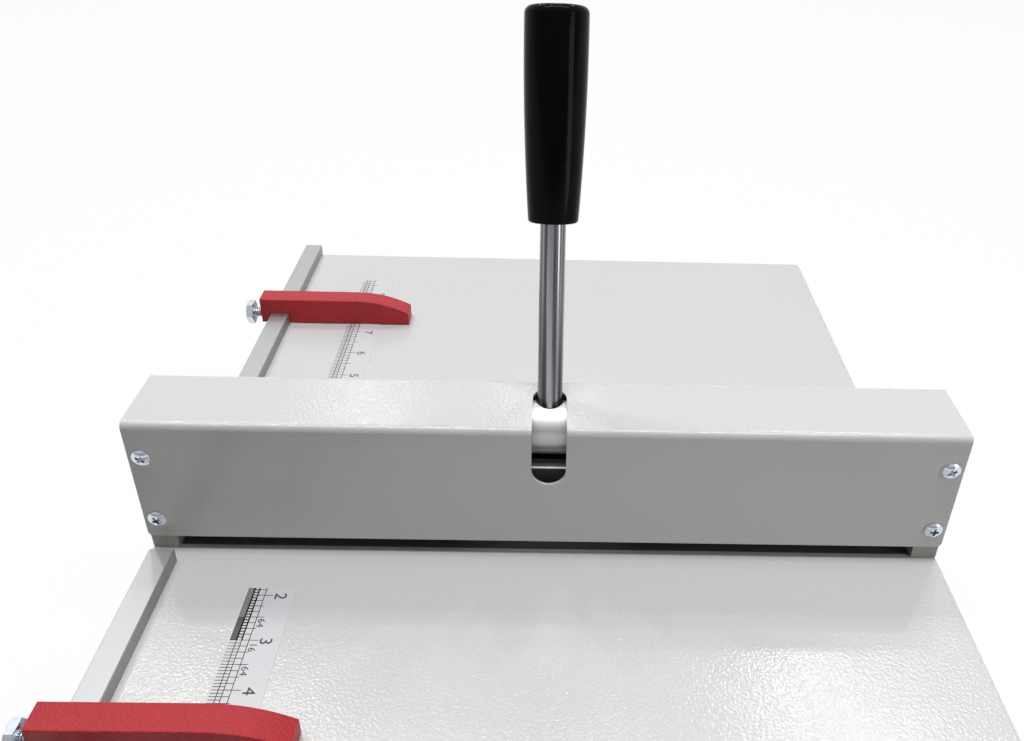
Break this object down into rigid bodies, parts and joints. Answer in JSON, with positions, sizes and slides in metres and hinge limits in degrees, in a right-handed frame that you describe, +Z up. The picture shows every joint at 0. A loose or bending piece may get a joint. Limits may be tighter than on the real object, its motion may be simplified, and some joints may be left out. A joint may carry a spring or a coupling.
{
  "type": "desktop paper creasing machine",
  "caption": "Desktop paper creaser: flat table, covered beam with a pull lever that presses a blade into a grooved anvil, and two sliding stops on guide bars beside rule strips.",
  "frame": {"origin": "bottom centre of the bounding box: on the desk under the rubber feet, on the crease line, at the middle of the width with the stops' clamp screws included", "axes": "+Z up, -Y towards the operator, +X to the operator's right, along the blade"},
  "size_m": [0.375, 0.58, 0.274],
  "materials": {
    "painted_steel": "warm pale grey powder coat, fine leather texture",
    "brushed_steel": "drawn and polished bar",
    "zinc_plated_steel": "bright bluish zinc plating",
    "foot_rubber": "matte black rubber",
    "dark_steel": "blackened steel",
    "ground_steel": "ground hardened steel",
    "bronze": "sintered bronze",
    "spring_steel": "drawn spring wire",
    "guide_aluminium": "extruded, fine lengthwise grain",
    "rule_film": "printed white film",
    "grip_plastic": "polished black",
    "black_steel": "black oxide",
    "stop_red": "satin red paint"
  },
  "bodies": {
    "machine_frame": {"table_tray": "painted_steel", "foot_front_left": "foot_rubber", "foot_front_right": "foot_rubber", "foot_rear_left": "foot_rubber", "foot_rear_right": "foot_rubber", "foot_screws": "zinc_plated_steel", "foot_nuts": "zinc_plated_steel", "cross_beam": "dark_steel", "anvil_bar": "ground_steel", "anvil_screws": "black_steel", "left_end_plate": "painted_steel", "right_end_plate": "painted_steel", "end_plate_screws": "black_steel", "beam_cover": "painted_steel", "front_cover_screws": "zinc_plated_steel", "rear_cover_screws": "zinc_plated_steel", "left_bush": "bronze", "right_bush": "bronze", "left_return_spring": "spring_steel", "right_return_spring": "spring_steel", "front_guide_bar": "guide_aluminium", "rear_guide_bar": "guide_aluminium", "guide_bar_screws": "zinc_plated_steel", "front_rule_strip": "rule_film", "rear_rule_strip": "rule_film"},
    "press_lever": {"press_shaft": "brushed_steel", "lever_rod": "brushed_steel", "lever_grip": "grip_plastic", "rod_grub_screw": "black_steel"},
    "blade_carriage": {"blade_carrier": "dark_steel", "wear_strip": "dark_steel", "crease_blade": "ground_steel", "blade_clamp_strip": "dark_steel", "blade_clamp_screws": "black_steel"},
    "front_stop_slider": {"front_stop": "stop_red"},
    "rear_stop_slider": {"rear_stop": "stop_red"},
    "front_clamp_screw": {"front_stop_screw": "zinc_plated_steel"},
    "rear_clamp_screw": {"rear_stop_screw": "zinc_plated_steel"}
  },
  "joints": [
    {"name": "lever_pull", "type": "hinge", "parent": "machine_frame", "child": "press_lever", "pos_m": [0.00653, 0.00178, 0.0996], "axis": [1, 0, 0], "range_deg": [0, 107], "stiffness_Nm_per_rad": 0.12, "springref_deg": -95.68},
    {"name": "carriage_press", "type": "slide", "parent": "machine_frame", "child": "blade_carriage", "axis": [0, 0, -1], "range_m": [0, 0.0048], "deforming": ["left_return_spring", "right_return_spring"]},
    {"name": "front_stop_slide", "type": "slide", "parent": "machine_frame", "child": "front_stop_slider", "axis": [0, 1, 0], "range_m": [-0.155, 0.088]},
    {"name": "rear_stop_slide", "type": "slide", "parent": "machine_frame", "child": "rear_stop_slider", "axis": [0, 1, 0], "range_m": [-0.155, 0.088]},
    {"name": "front_clamp_turn", "type": "hinge", "parent": "front_stop_slider", "child": "front_clamp_screw", "pos_m": [-0.18307, -0.127, 0.0502], "axis": [-1, 0, 0], "range_deg": [0, 360]},
    {"name": "rear_clamp_turn", "type": "hinge", "parent": "rear_stop_slider", "child": "rear_clamp_screw", "pos_m": [-0.18307, 0.1942, 0.0502], "axis": [-1, 0, 0], "range_deg": [0, 360]}
  ],
  "couplings": [
    {"joint": "carriage_press", "follows": "lever_pull", "m_per_rad": 0.0025702}
  ]
}
